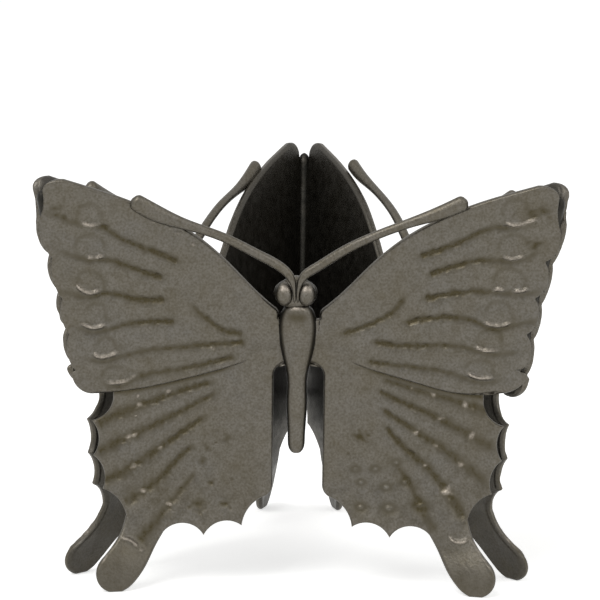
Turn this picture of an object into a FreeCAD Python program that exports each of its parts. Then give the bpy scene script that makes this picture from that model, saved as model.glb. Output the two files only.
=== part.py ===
import FreeCAD, Part
import math
import os

# Butterfly lid rest for the tea ceremony, in millimetres.
# Three bronze swallowtail butterflies stand as the sides of a triangle with their wings spread.
# They are brazed to each other at the scallops of the forewings, stand on the hindwing tails
# and carry the hot lid on the forewing tips.
# One butterfly is drawn facing -Y, with its body on the line x = 0 and the triangle's axis at
# x = y = 0. A point of its sheet is (u, z): u sideways from the body, z above the floor.
# The right hand side is drawn, as seen from outside, and the left one is its mirror image.

V = FreeCAD.Vector
UP = V(0, 0, 1)
ORIGIN = V(0, 0, 0)

# Whole object: the butterflies round the triangle, and the corners between each and the next
tip_height = 52.3
tip_reach = 32.1
corner_reach = 28.02
root_split_height = 30.3
butterflies = ["front", "back_right", "back_left"]
corners = ["front_right_braze", "back_braze", "front_left_braze"]
butterfly_count = len(butterflies)

# The points of the outlines, veins and sections below are one drawing, which has its wing tip
# and the corner at the height of the wing roots at these points. The drawing stretches with the
# real sizes: heights between the floor, the roots and the tips, reaches with the corner between
# two butterflies, or with the tips along the leading edge
drawn_tip = (32.1, 52.3)
drawn_root_corner = (28.02, 30.3)

# The sheet that the wings lie in: its bends above and below the waist, the counter bend that
# stands the tails upright on the floor, the swing of the wings out of one plane, and its
# distance from the triangle's axis, for which the corners meet
waist_height = 15.8
upper_bend_radius = 200.0
lower_bend_radius = 25.0
foot_bend_height = 4.5
foot_bend_radius = lower_bend_radius * foot_bend_height / (waist_height - foot_bend_height)
wing_swing = 3.6
corner_slope = math.tan(math.radians(180 / butterfly_count))
swing_slope = math.tan(math.radians(wing_swing))
waist_distance = corner_reach * (1 / corner_slope - swing_slope)

# Wing plates
forewing_thickness = 1.2
hindwing_thickness = 1.1
hindwing_step = 0.45
lap_width = 1.3
wing_root_gap = 0.2

# Forewing outline
lid_flat_length = 1.2
tip_round = 1.6
tip_margin = (32.0, 49.4)
leading_edge = [(27.0, 51.6), (22.0, 49.95), (17.5, 48.0), (12.4, 44.9), (8.3, 41.2), (4.9, 37.7)]
notch_count = 5
highest_notch_drop = 5.1
lowest_notch_rise = 3.7
notch_depth = 0.7
mitre_inset = 0.1
lower_corner = (25.4, 24.9)
corner_top_rise = 2.0
lower_corner_bulge = 0.6
trailing_edge = [(20.6, 25.4), (15.0, 26.6), (8.9, 28.3), (4.6, 29.6)]
root_top_rise = 4.3
shoulder = [(2.6, 34.7), (2.75, 35.8), (3.2, 36.2)]

# Hindwing outline: the deepest place of each scallop of the rim and the point where it ends,
# and the tail's points from its own centre line
rim_start = (23.4, 24.2)
lap_end_drop = 0.5
outer_rim = [((24.1, 22.5), (26.1, 21.3)), ((25.2, 19.0), (25.9, 16.8)), ((24.5, 14.6), (24.7, 12.5))]
tail_neck = ((22.7, 11.2), (21.7, 9.3))
inner_rim = [((14.5, 8.4), (11.8, 7.0)), ((9.4, 8.7), (7.0, 8.2)), ((5.9, 10.6), (4.1, 11.7))]
inner_corner = ((3.35, 12.3), (3.15, 13.2))
tail_centre_reach = 22.7
tail_radius = 2.5
tail_outer = [(-0.4, 7.2), (1.1, 4.9)]
tail_inner = [(-2.5, 1.3), (-3.5, 2.7), (-4.6, 4.9), (-5.8, 7.1)]
foot_length = 1.6
root_drop = 2.7
root_round_height = 1.5
root_round_reach = 1.95

# Veins cut into the outer faces: start, middle and end of each, with one width and depth
vein_width = 0.9
vein_depth = 0.28
forewing_veins = [
    ((15.4, 42.4), (19.9, 44.3), (24.8, 46.4)),
    ((16.5, 40.1), (20.8, 41.3), (25.5, 42.5)),
    ((16.0, 37.2), (22.0, 37.6), (28.5, 38.4)),
    ((14.2, 34.2), (21.5, 34.2), (28.2, 33.8)),
    ((8.2, 31.7), (17.5, 31.0), (27.0, 30.2)),
    ((8.2, 30.0), (14.7, 28.9), (20.6, 28.1)),
    ((6.0, 32.8), (9.6, 33.9), (13.3, 37.0)),
]
hindwing_veins = [
    ((11.0, 26.2), (16.0, 24.7), (24.2, 22.2)),
    ((10.4, 25.1), (17.5, 21.7), (24.6, 18.3)),
    ((11.1, 22.5), (17.9, 17.9), (23.6, 13.9)),
    ((11.7, 19.7), (16.5, 15.3), (20.9, 11.0)),
    ((12.6, 15.4), (15.6, 10.8), (18.0, 7.6)),
]
crescent_places = [(27.0, 48.0), (26.8, 43.6), (26.9, 39.9), (25.6, 35.7), (24.4, 32.2), (22.9, 26.8)]
crescent_length = 3.0
crescent_width = 1.3
crescent_sag = 0.2
crescent_depth = 0.2

# Body: height, half width and half depth of its sections from the neck to the end of the tail
body_forward = 0.4
body_sections = [
    (36.3, 1.45, 1.25),
    (35.4, 2.05, 1.60),
    (33.4, 2.40, 1.85),
    (31.2, 2.15, 1.75),
    (29.2, 1.70, 1.50),
    (27.4, 1.25, 1.20),
    (25.4, 1.45, 1.25),
    (22.6, 1.40, 1.20),
    (19.6, 1.15, 1.00),
    (17.9, 0.75, 0.70),
    (17.3, 0.30, 0.30),
]

# Head: sections like the body's, from its top to its seat on the neck, and the eyes
head_forward = 0.5
head_sections = [
    (40.3, 0.45, 0.40),
    (39.9, 1.00, 0.90),
    (39.1, 1.50, 1.30),
    (38.0, 1.70, 1.50),
    (37.0, 1.50, 1.30),
    (36.3, 1.20, 1.05),
]
eye_radius = 1.3
eye_reach = 1.6
eye_rise = 2.1
eye_forward = 1.0

# Antennae: reach, height and how far the centre line stands in front of the forewing's face
antenna_route = [
    (0.25, 39.3, 0.6),
    (1.6, 41.1, 0.8),
    (4.6, 43.1, 1.0),
    (9.5, 45.6, 1.1),
    (14.5, 47.4, 0.85),
    (18.0, 48.8, 0.6),
    (20.8, 50.2, 0.45),
]
antenna_diameter = 1.25
club_diameter = 1.8
club_stations = 2

# Braze in the corner between two butterflies: a seam along its inside, and a bead on the outside
# of each scallop
seam_radius = 0.85
seam_end_radius = 0.5
seam_inset = 0.95
bead_radius = 0.45
bead_half_length = 1.5
bead_outset = 0.05

# Round beads, the eyes and the braze, as circles between two angles of latitude
bead_rings = 9
bead_end_angle = 76

# Room beyond the outlines that cutting tools reach
spare = 4.0

# Share of a quarter turn's side at which its arc passes its corner
QUARTER_MIDDLE = 1 - math.sqrt(0.5)


def counter_bend_top(offset):
    """Height at which the counter bend of the tails starts on a face at this offset."""
    return foot_bend_height * (1 + offset / foot_bend_radius)


def bend_out(z, offset):
    """Distance from the triangle's axis of a face that lies offset outside the sheet, on the line x = 0."""
    if z < counter_bend_top(offset):
        reach = math.sqrt((lower_bend_radius + foot_bend_radius) ** 2 - waist_height ** 2)
        centre = waist_distance + lower_bend_radius - reach
        return centre + math.sqrt((foot_bend_radius + offset) ** 2 - z * z)
    rise = z - waist_height
    bend = upper_bend_radius if rise > 0 else lower_bend_radius
    radius = bend - offset
    return waist_distance + bend - math.sqrt(radius * radius - rise * rise)


def sheet_out(u, z, offset=0.0):
    """Distance in front of the triangle's axis of a face of the sheet at reach u and height z."""
    return bend_out(z, offset) + abs(u) * swing_slope


def mitre_reach(z, offset=0.0):
    """Reach at which the sheet meets the plane between two butterflies."""
    return bend_out(z, offset) / (1 / corner_slope - swing_slope)


def crest_reach(z):
    """Reach of the scallops' crests, just inside the middle of the plate."""
    return mitre_reach(z, -mitre_inset)


def raised(z):
    """Real height of a drawn height."""
    drawn_root = drawn_root_corner[1]
    if z < drawn_root:
        return z * root_split_height / drawn_root
    share = (z - drawn_root) / (drawn_tip[1] - drawn_root)
    return root_split_height + share * (tip_height - root_split_height)


def spread(point):
    """Real reach and height of a drawn point, which follows the corner between two butterflies."""
    return (point[0] * corner_reach / drawn_root_corner[0], raised(point[1]))


def tipped(point):
    """Real reach and height of a drawn point, which follows the wing tips."""
    return (point[0] * tip_reach / drawn_tip[0], raised(point[1]))


def at(point):
    """Point of the drawing plane."""
    return V(point[0], 0, point[1])


def corner_arc(start, corner, end):
    """Step round a corner from start to end: the arc's middle and its end."""
    middle = [c + QUARTER_MIDDLE * (a + b - 2 * c) for a, c, b in zip(start, corner, end)]
    return [tuple(middle), end]


def outline_face(start, steps):
    """Face in the plane y = 0. A step of one point is a straight run, of two an arc through the first
    to the second, and a longer one a smooth curve through all its points."""
    edges = []
    here = start
    for step in steps:
        if len(step) == 1:
            edges.append(Part.LineSegment(at(here), at(step[0])).toShape())
        elif len(step) == 2:
            edges.append(Part.Arc(at(here), at(step[0]), at(step[1])).toShape())
        else:
            curve = Part.BSplineCurve()
            curve.interpolate([at(here)] + [at(point) for point in step])
            edges.append(curve.toShape())
        here = step[-1]
    return Part.Face(Part.Wire(edges))


def slab(outside, inside, box):
    """Bent plate between two offsets from the sheet, over the heights of a box, swung about the body."""
    low = min(box.ZMin, waist_height) - spare
    high = max(box.ZMax, waist_height) + spare

    def edge(z, offset):
        return V(0, -bend_out(z, offset), z)

    def arc(offset, start, end):
        return Part.Arc(edge(start, offset), edge((start + end) / 2, offset), edge(end, offset)).toShape()

    turns = [counter_bend_top(outside), waist_height, high]
    outer = [arc(outside, start, end) for start, end in zip([low] + turns, turns)]
    turns = [waist_height, counter_bend_top(inside), low]
    inner = [arc(inside, start, end) for start, end in zip([high] + turns, turns)]
    top = Part.LineSegment(edge(high, outside), edge(high, inside)).toShape()
    foot = Part.LineSegment(edge(low, inside), edge(low, outside)).toShape()
    face = Part.Face(Part.Wire(outer + [top] + inner + [foot]))
    face.translate(V(-spare, 0, 0))
    plate = face.extrude(V(tip_reach + 3 * spare, 0, 0))
    plate.rotate(V(0, -waist_distance, 0), UP, -wing_swing)
    return plate


def wing_plate(face, outside, inside):
    """Bent plate with the given outline."""
    deep = 2 * (waist_distance + tip_height)
    block = face.extrude(V(0, -deep, 0))
    return block.common(slab(outside, inside, face.BoundBox))


def lens(start, middle, end, width):
    """Pointed oval face between two points, bent through a third."""
    along = at(end).sub(at(start))
    across = V(-along.z, 0, along.x).normalize().multiply(width / 2)
    upper = Part.Arc(at(start), at(middle).add(across), at(end)).toShape()
    lower = Part.Arc(at(end), at(middle).sub(across), at(start)).toShape()
    return Part.Face(Part.Wire([upper, lower]))


def vein_faces(veins):
    """Faces of drawn veins."""
    return [lens(*[spread(point) for point in vein], vein_width) for vein in veins]


def engrave(plate, faces, outside, depth):
    """Sink the faces into a plate's outer side by a depth that follows its bend."""
    deep = 2 * (waist_distance + tip_height)
    blocks = Part.makeCompound([face.extrude(V(0, -deep, 0)) for face in faces])
    cutters = blocks.common(slab(outside + spare, outside - depth, plate.BoundBox))
    return plate.cut(cutters)


def inside_mitre():
    """Block on this butterfly's side of the plane between two butterflies."""
    size = 4 * tip_reach
    block = Part.makeBox(size, size, 2 * tip_height + size, V(-size / 2, -size, -size / 2))
    turn = 90 - 180 / butterfly_count
    wedge = block.copy()
    wedge.rotate(ORIGIN, UP, turn)
    block.rotate(ORIGIN, UP, -turn)
    return block.common(wedge)


def notch_heights():
    """Heights of the notches between the forewing's scallops, from the highest."""
    highest = drawn_tip[1] - highest_notch_drop
    pitch = (highest - lower_corner[1] - lowest_notch_rise) / (notch_count - 1)
    return [raised(highest - step * pitch) for step in range(notch_count)]


def forewing_face():
    """Outline of the right forewing, clockwise from the outer end of the flat that carries the lid."""
    flat_end = (tip_reach - tip_round, tip_height)
    flat_start = (flat_end[0] - lid_flat_length, tip_height)
    tip_side = (tip_reach, tip_height - tip_round)
    notches = [(crest_reach(z) - notch_depth, z) for z in notch_heights()]
    steps = [corner_arc(flat_end, (tip_reach, tip_height), tip_side)]
    steps.append([tipped(tip_margin), notches[0]])
    for upper, lower in zip(notches, notches[1:]):
        middle = (upper[1] + lower[1]) / 2
        steps.append([(crest_reach(middle), middle), lower])
    corner_top = raised(lower_corner[1] + corner_top_rise)
    last_crest = (notches[-1][1] + corner_top) / 2
    steps.append([(crest_reach(last_crest), last_crest), (crest_reach(corner_top), corner_top)])
    corner = spread(lower_corner)
    bulge_reach = (crest_reach(corner_top) + corner[0]) / 2 + lower_corner_bulge
    bulge_height = (corner_top + corner[1]) / 2 - lower_corner_bulge
    steps.append([(bulge_reach, bulge_height), corner])
    steps.append([spread(point) for point in trailing_edge] + [(wing_root_gap, root_split_height)])
    steps.append([(wing_root_gap, raised(drawn_root_corner[1] + root_top_rise))])
    steps.append([spread(shoulder[0])])
    steps.append([spread(point) for point in shoulder[1:]])
    steps.append([tipped(point) for point in leading_edge[::-1]] + [flat_start])
    steps.append([flat_end])
    return outline_face(flat_end, steps)


def tail_points():
    """The tail's outer side, foot and inner side, as steps of the hindwing's outline."""
    foot_angle = math.acos(foot_length / 2 / tail_radius)
    centre_height = tail_radius * math.sin(foot_angle)

    def round_point(angle):
        across, down = tail_radius * math.cos(angle), tail_radius * math.sin(angle)
        return (tail_centre_reach + across, centre_height - down)

    outside = [(tail_centre_reach + reach, raised(z)) for reach, z in tail_outer]
    inside = [(tail_centre_reach + reach, raised(z)) for reach, z in tail_inner]
    steps = [outside + [round_point(0)]]
    steps.append([round_point(foot_angle / 2), (tail_centre_reach + foot_length / 2, 0.0)])
    steps.append([(tail_centre_reach - foot_length / 2, 0.0)])
    steps.append(inside)
    return steps


def hindwing_face():
    """Outline of the right hindwing, with the strip that lies under the forewing."""
    lap = [(reach, z + lap_width) for reach, z in [spread(point) for point in trailing_edge]]
    lap_top = root_split_height + lap_width
    root = lap_top - root_drop
    start = spread(rim_start)
    lap_end = (start[0], lap[0][1] - lap_end_drop)
    steps = [[start]]
    for deepest, point in outer_rim + [tail_neck]:
        steps.append([spread(deepest), spread(point)])
    steps.extend(tail_points())
    for deepest, point in inner_rim + [inner_corner]:
        steps.append([spread(deepest), spread(point)])
    inner_edge = spread(inner_corner[1])[0]
    edge_top = (inner_edge, root - root_round_height)
    root_end = (inner_edge - root_round_reach, root)
    steps.append([edge_top])
    steps.append(corner_arc(edge_top, (inner_edge, root), root_end))
    steps.append([(wing_root_gap, root)])
    steps.append([(wing_root_gap, lap_top)])
    steps.append(lap[::-1] + [lap_end])
    return outline_face(lap_end, steps)


def ellipse(z, half_width, half_depth, out):
    """Level ellipse round the point that lies out from the triangle's axis."""
    wide = half_width >= half_depth
    major, minor = max(half_width, half_depth), min(half_width, half_depth)
    ring = Part.Ellipse(V(0, 0, 0), major, minor).toShape()
    if not wide:
        ring.rotate(ORIGIN, UP, 90)
    ring.translate(V(0, -out, z))
    return Part.Wire([ring])


def spindle(sections, forward):
    """Solid through level ellipses that follow the sheet, a step in front of it."""
    rings = []
    for z, half_width, half_depth in sections:
        height = raised(z)
        rings.append(ellipse(height, half_width, half_depth, bend_out(height, 0) + forward))
    return Part.makeLoft(rings, True)


def bead(centre, direction, radius, half_length):
    """Round bead along a direction, through circles, with a small flat at each end."""
    rings = []
    for number in range(bead_rings):
        angle = math.radians(bead_end_angle * (2 * number / (bead_rings - 1) - 1))
        place = centre.add(V(direction).multiply(half_length * math.sin(angle)))
        rings.append(Part.Wire([Part.makeCircle(radius * math.cos(angle), place, direction)]))
    return Part.makeLoft(rings, True)


def make_head():
    """Head with two round eyes, seated on the neck."""
    head = spindle(head_sections, head_forward)
    height = raised(head_sections[-1][0] + eye_rise)
    for side in (-1, 1):
        place = V(side * eye_reach, -bend_out(height, 0) - eye_forward, height)
        head = head.fuse(bead(place, V(side, 0, 0), eye_radius, eye_radius))
    return head


def make_hindwing(body):
    """Right hindwing with its veins, against the thorax."""
    outside = forewing_thickness / 2 - hindwing_step
    plate = wing_plate(hindwing_face(), outside, outside - hindwing_thickness)
    plate = engrave(plate, vein_faces(hindwing_veins), outside, vein_depth)
    return plate.cut(body)


def make_forewing(body, hindwing):
    """Right forewing with its veins and crescents, lapped over the hindwing."""
    outside = forewing_thickness / 2
    plate = wing_plate(forewing_face(), outside, -outside).common(inside_mitre())
    plate = engrave(plate, vein_faces(forewing_veins), outside, vein_depth)
    crescents = []
    for place in crescent_places:
        reach, height = spread(place)
        near = (reach - crescent_length / 2, height)
        far = (reach + crescent_length / 2, height)
        crescents.append(lens(near, (reach, height - crescent_sag), far, crescent_width))
    plate = engrave(plate, crescents, outside, crescent_depth)
    return plate.cut(body.fuse(hindwing))


def make_antenna(head, forewing):
    """Right antenna: a round rod that thickens to a club, which lies on the forewing."""
    face = forewing_thickness / 2
    route = []
    for drawn_reach, drawn_height, proud in antenna_route:
        reach, height = tipped((drawn_reach, drawn_height))
        route.append(V(reach, -sheet_out(reach, height, face) - proud, height))
    line = Part.BSplineCurve()
    line.interpolate(route)
    rings = []
    for number, place in enumerate(route):
        club = number >= len(route) - club_stations
        diameter = club_diameter if club else antenna_diameter
        direction = line.tangent(line.parameter(place))[0]
        rings.append(Part.Wire([Part.makeCircle(diameter / 2, place, direction)]))
    rod = Part.makeLoft(rings, True)
    half = Part.makeBox(2 * tip_reach, 4 * tip_reach, 2 * tip_height, V(0, -2 * tip_reach, 0))
    return rod.common(half).cut(head.fuse(forewing))


def mirrored(shape):
    """The left hand piece."""
    return shape.mirror(ORIGIN, V(1, 0, 0))


def placed(shape, number):
    """The same piece on butterfly 0, 1 or 2, counted round the triangle as seen from above."""
    copy = shape.copy()
    copy.rotate(ORIGIN, UP, 360 / butterfly_count * number)
    return copy


def corner_place(height, outset):
    """Point of the corner between two butterflies, outset from the scallops' crests."""
    reach = crest_reach(height)
    crest = V(reach, -reach / corner_slope, height)
    return crest.add(V(crest.x, crest.y, 0).normalize().multiply(outset))


def make_braze(wings):
    """Braze of the corner at the right hand end of the front butterfly. Near the top, where the
    wings part, the seam draws in by half of what each tip falls short of the corner."""
    notches = notch_heights()
    top = tip_height - tip_round
    heights = [raised(lower_corner[1] + corner_top_rise)] + notches[::-1] + [raised(tip_margin[1]), top]
    rings = []
    for height in heights:
        inset = seam_inset + max(0, crest_reach(height) - tip_reach) / 2
        radius = seam_end_radius if height in (heights[0], top) else seam_radius
        rings.append(Part.Wire([Part.makeCircle(radius, corner_place(height, -inset), UP)]))
    pieces = [Part.makeLoft(rings, True)]
    for upper, lower in zip(notches, notches[1:]):
        place = corner_place((upper + lower) / 2, bead_outset)
        pieces.append(bead(place, UP, bead_radius, bead_half_length))
    trimmed = [piece.cut(wings) for piece in pieces]
    return Part.makeCompound([max(piece.Solids, key=lambda solid: solid.Volume) for piece in trimmed])


def main():
    """Make every piece, move the assembly so that its box stands centred on the origin and save it."""
    body = spindle(body_sections, body_forward)
    head = make_head()
    hindwing = make_hindwing(body)
    forewing = make_forewing(body, hindwing)
    antenna = make_antenna(head, forewing)
    pieces = {
        "body": body,
        "head": head,
        "forewing_right": forewing,
        "forewing_left": mirrored(forewing),
        "hindwing_right": hindwing,
        "hindwing_left": mirrored(hindwing),
        "antenna_right": antenna,
        "antenna_left": mirrored(antenna),
    }
    nodes = {}
    for number, butterfly in enumerate(butterflies):
        for name, shape in pieces.items():
            nodes[butterfly + "_butterfly_" + name] = placed(shape, number)
    braze = make_braze(forewing.fuse(placed(mirrored(forewing), 1)))
    for number, corner in enumerate(corners):
        nodes[corner] = placed(braze, number)
    box = Part.makeCompound(list(nodes.values())).optimalBoundingBox(False)
    shift = V(-box.Center.x, -box.Center.y, -box.ZMin)
    os.makedirs("parts", exist_ok=True)
    for name, shape in nodes.items():
        shape.translate(shift)
        shape.exportStep("parts/" + name + ".step")
        print(name, len(shape.Solids), shape.isValid(), round(shape.Volume, 2))
    print("box", box.XLength, box.YLength, box.ZLength, "shift", shift)


main()
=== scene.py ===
"""Butterfly lid rest of the tea ceremony: three bronze swallowtails standing as a triangle.

One butterfly is worked out facing the camera, in millimetres, with its body on the line x = 0. A
point of its wings is (u, z, offset): u sideways from the body, z above the floor, and offset
outwards from the middle of the forewing plate. The other two are turned about the triangle's axis.
"""
import math

import bpy
import numpy as np
from bpy.props import FloatProperty, FloatVectorProperty, IntProperty, PointerProperty
from mathutils import Matrix, Vector


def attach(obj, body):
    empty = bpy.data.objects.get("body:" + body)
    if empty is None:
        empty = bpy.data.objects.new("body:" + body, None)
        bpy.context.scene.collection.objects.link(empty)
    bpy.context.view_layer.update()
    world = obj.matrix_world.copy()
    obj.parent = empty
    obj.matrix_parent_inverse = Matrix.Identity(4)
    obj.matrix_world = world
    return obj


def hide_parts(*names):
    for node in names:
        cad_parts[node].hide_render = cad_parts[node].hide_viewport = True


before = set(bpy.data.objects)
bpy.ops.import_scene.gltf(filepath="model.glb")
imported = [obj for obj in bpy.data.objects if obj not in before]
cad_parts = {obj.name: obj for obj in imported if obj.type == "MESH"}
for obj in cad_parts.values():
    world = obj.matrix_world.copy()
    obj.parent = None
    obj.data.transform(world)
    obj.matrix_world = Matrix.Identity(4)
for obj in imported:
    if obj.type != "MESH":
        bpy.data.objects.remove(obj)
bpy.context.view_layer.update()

bl_info = {
    "name": "Butterfly Lid Rest",
    "version": (1, 0, 0),
    "blender": (4, 5, 0),
    "location": "3D View > Sidebar > Lid Rest",
    "description": "Dresses the frame of a bronze butterfly lid rest and lights it",
    "category": "Object",
}

MM = 0.001

# The whole, in millimetres, as the frame has it
TIP_REACH = 32.1
CORNER_REACH = 28.02
BUTTERFLIES = ["front", "back_right", "back_left"]
SIDES = ["right", "left"]
CORNERS = ["front_right_braze", "back_braze", "front_left_braze"]
THIRD_TURN = math.tau / len(BUTTERFLIES)

# The sheet that the wings lie in
WAIST_HEIGHT = 15.8
UPPER_BEND = 200.0
LOWER_BEND = 25.0
FOOT_BEND_HEIGHT = 4.5
FOOT_BEND = LOWER_BEND * FOOT_BEND_HEIGHT / (WAIST_HEIGHT - FOOT_BEND_HEIGHT)
WING_SWING = math.radians(3.6)
CORNER_SLOPE = math.tan(math.pi / len(BUTTERFLIES))
WAIST_DISTANCE = CORNER_REACH * (1 / CORNER_SLOPE - math.tan(WING_SWING))
AXIS_Y = -8.604

# A tail's twist: the slope of its inner and its outer half about its middle line, which comes in
# over these reaches and heights
TAIL_TWIST = (0.34, 0.16)
TAIL_MIDDLE = 22.0
TWIST_REACHES = (14.0, 18.0)
TWIST_HEIGHTS = (9.5, 4.5)

# Plates: offsets of their faces from the middle of the forewing, and of the forewing's outline
FOREWING_FACE = 0.6
FOREWING_OUTLINE = -0.15
HINDWING_FACE = 0.15
HINDWING_BACK = -0.95

# The forewing's trailing edge lies on the hindwing over the lap's width: its outline rises there,
# and near the body its face sinks flush into the hindwing's
LAP_WIDTH = 1.3
LAP_STEP = (0.35, 0.05)
LAP_RISE = 0.33
LAP_END_REACHES = (25.0, 23.6)
LAP_CLEARANCE = 0.02
FLUSH_REACHES = (8.5, 5.5)
FLUSH_WIDTHS = (2.6, 0.1)
FLUSH_SINK = 0.1
WING_ROOT_GAP = 0.2
ROOT_HEIGHT = 30.3

# Forewing outline, where two differ the right hand wing's and the left's. A notch is where two
# scallops of the margin meet
FLAT_START = (29.3, 52.3)
FLAT_END = (29.9, 52.3)
TIP_SIDE = (31.5, 50.7)
TIP_ROUND = (31.03, 51.83)
TIP_MARGIN = (31.4, 49.4)
LEADING_EDGE = [
    (3.2, 36.2), (4.9, 37.7), (8.3, 41.2), (12.4, 44.9), (17.5, 48.0), (22.0, 49.95), (27.0, 51.6),
]
SHOULDER = [(2.6, 34.7), (2.75, 35.8), (3.2, 36.2)]
ROOT_TOP = 34.6
NOTCHES = [[47.2, 42.55, 37.9, 33.25, 28.6], [47.3, 42.2, 37.0, 32.5, 27.9]]
NOTCH_DEPTHS = [0.8, 0.5]
MARGIN_SHARES = [0.09, 0.17, 0.33, 0.49, 0.65, 0.81, 1.0]
MITRE_INSET = 0.2
CORNER_TOP = 26.9
LOWER_CORNERS = [(24.7, 25.75), (25.4, 24.9)]
CORNER_TOPS = [27.5, 26.9]
LOWER_CORNER_BULGE = 0.6
TRAILING_EDGE = [(25.4, 24.9), (20.6, 25.4), (15.0, 26.6), (8.9, 28.3), (4.6, 29.6), (0.2, 30.3)]

# The outer face leans over the margin by this much of its height above the outline, within these
# distances of the margin and fading out around the lower corner
MARGIN_LEAN = 0.9
LEAN_WIDTHS = (1.8, 0.3)
LEAN_HEIGHTS = (CORNER_TOP - 3, CORNER_TOP + 2)

# Hindwing outline: the deepest place of each scallop and the point where it ends
RIM_START = (23.4, 24.2)
LAP_END = (23.4, 26.2)
OUTER_RIM = [((24.1, 22.5), (26.1, 21.3)), ((25.2, 19.0), (25.9, 16.8)), ((24.5, 14.6), (24.7, 12.5))]
TAIL_NECK = ((22.7, 11.2), (21.7, 9.3))
INNER_RIM = [((14.5, 8.25), (11.8, 6.8)), ((9.4, 8.5), (7.0, 7.95)), ((5.9, 10.4), (4.1, 11.6))]
INNER_CORNER = ((3.35, 12.3), (3.15, 13.2))
TAIL_CENTRE = (22.7, 2.37)
TAIL_RADIUS = 2.5
TAIL_ROUND_END = math.radians(-40)
TAIL_OUTER = [(22.3, 7.2), (23.8, 4.9)]
TAIL_INNER = [(21.15, 0.4), (20.2, 1.3), (19.2, 2.7), (18.1, 4.9), (16.9, 7.1)]
FOOT_LENGTH = 1.6
EDGE_TOP = (3.15, 27.4)
ROOT_END = (1.2, 28.9)
SEAM_SHARE = 0.76


def bend_out(z, offset):
    """Distance from the triangle's axis on the line x = 0. Above the tails it is the waist distance
    and the bend radius less the root of the squares of the radius at this offset less the rise
    above the waist. The tails' counter bend is an arc round a point on the floor."""
    rise = z - WAIST_HEIGHT
    bend = np.where(rise > 0, UPPER_BEND, LOWER_BEND)
    above = WAIST_DISTANCE + bend - np.sqrt(np.maximum((bend - offset) ** 2 - rise ** 2, 0))
    centre = WAIST_DISTANCE + LOWER_BEND - math.sqrt((LOWER_BEND + FOOT_BEND) ** 2 - WAIST_HEIGHT ** 2)
    foot = centre + np.sqrt(np.maximum((FOOT_BEND + offset) ** 2 - z * z, 0))
    return np.where(z < FOOT_BEND_HEIGHT * (1 + offset / FOOT_BEND), foot, above)


def sheet_point(u, z, offset):
    """Point of the front butterfly: x is u, and its distance in front of the axis is the bend's,
    stretched by the swing, plus the reach times the swing's slope, plus a tail's twist."""
    u, z, offset = np.broadcast_arrays(u, z, offset)
    reach = np.abs(u)
    swung = WAIST_DISTANCE + (bend_out(z, offset) - WAIST_DISTANCE) / math.cos(WING_SWING)
    in_tail = ramp(reach, *TWIST_REACHES) * ramp(z, *TWIST_HEIGHTS)
    twist = np.where(reach < TAIL_MIDDLE, *TAIL_TWIST) * (reach - TAIL_MIDDLE) * in_tail
    out = swung + reach * math.tan(WING_SWING) + twist
    return np.stack([u, AXIS_Y - out, z], axis=-1)


def mitre_reach(z, offset):
    """Reach at which the sheet at this offset meets the plane between two butterflies."""
    return bend_out(z, offset) / (1 / CORNER_SLOPE - math.tan(WING_SWING))


def mitre_offset(u, z):
    """Offset at which the plane between two butterflies passes reach u: from the scallops' crest
    line it moves out by the reach beyond it times the mitre's slope."""
    return (u - mitre_reach(z, -MITRE_INSET)) * (1 / CORNER_SLOPE - math.tan(WING_SWING)) - MITRE_INSET


def turned(points, number):
    """Points of the front butterfly turned by thirds of a turn about the triangle's axis."""
    cosine, sine = math.cos(THIRD_TURN * number), math.sin(THIRD_TURN * number)
    turn = np.array([[cosine, -sine, 0], [sine, cosine, 0], [0, 0, 1]])
    axis = np.array([0, AXIS_Y, 0])
    return (points - axis) @ turn.T + axis


# Curves

def natural_curve(points, count):
    """Smooth curve through points: a cubic between each two whose slopes and bends run on, with no
    bend at the ends, over the chord lengths. The bends come from one linear system."""
    points = np.asarray(points, dtype=float)
    chords = np.linalg.norm(np.diff(points, axis=0), axis=1)
    knots = np.concatenate([[0], np.cumsum(chords)])
    last = len(points) - 1
    system = np.eye(last + 1)
    pull = np.zeros_like(points)
    inner = np.arange(1, last)
    system[inner, inner - 1] = chords[:-1]
    system[inner, inner] = 2 * (chords[:-1] + chords[1:])
    system[inner, inner + 1] = chords[1:]
    slopes = np.diff(points, axis=0) / chords[:, None]
    pull[1:-1] = 6 * np.diff(slopes, axis=0)
    bends = np.linalg.solve(system, pull)
    places = np.linspace(0, knots[-1], count)
    span = np.clip(np.searchsorted(knots, places, side="right") - 1, 0, last - 1)
    width = chords[span][:, None]
    before = (places - knots[span])[:, None]
    after = width - before
    cubic = (bends[span] * after ** 3 + bends[span + 1] * before ** 3) / (6 * width)
    start = (points[span] / width - bends[span] * width / 6) * after
    end = (points[span + 1] / width - bends[span + 1] * width / 6) * before
    return cubic + start + end


def arc(start, middle, end, count=24):
    """Arc of the circle through three points, from its centre and the angles of the three."""
    a, b, c = (np.array(point, dtype=float) for point in (start, middle, end))
    rows = 2 * np.array([b - a, c - a])
    sums = np.array([b @ b - a @ a, c @ c - a @ a])
    centre = np.linalg.solve(rows, sums)
    first, between, last = (math.atan2(*(point - centre)[::-1]) for point in (a, b, c))
    to_middle = (between - first) % math.tau
    to_end = (last - first) % math.tau
    if to_middle > to_end:
        to_end -= math.tau
    angles = first + np.linspace(0, to_end, count)
    radius = np.linalg.norm(a - centre)
    return centre + radius * np.stack([np.cos(angles), np.sin(angles)], axis=1)


def line(start, end, count=12):
    """Straight run."""
    share = np.linspace(0, 1, count)[:, None]
    return np.array(start) * (1 - share) + np.array(end) * share


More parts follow.
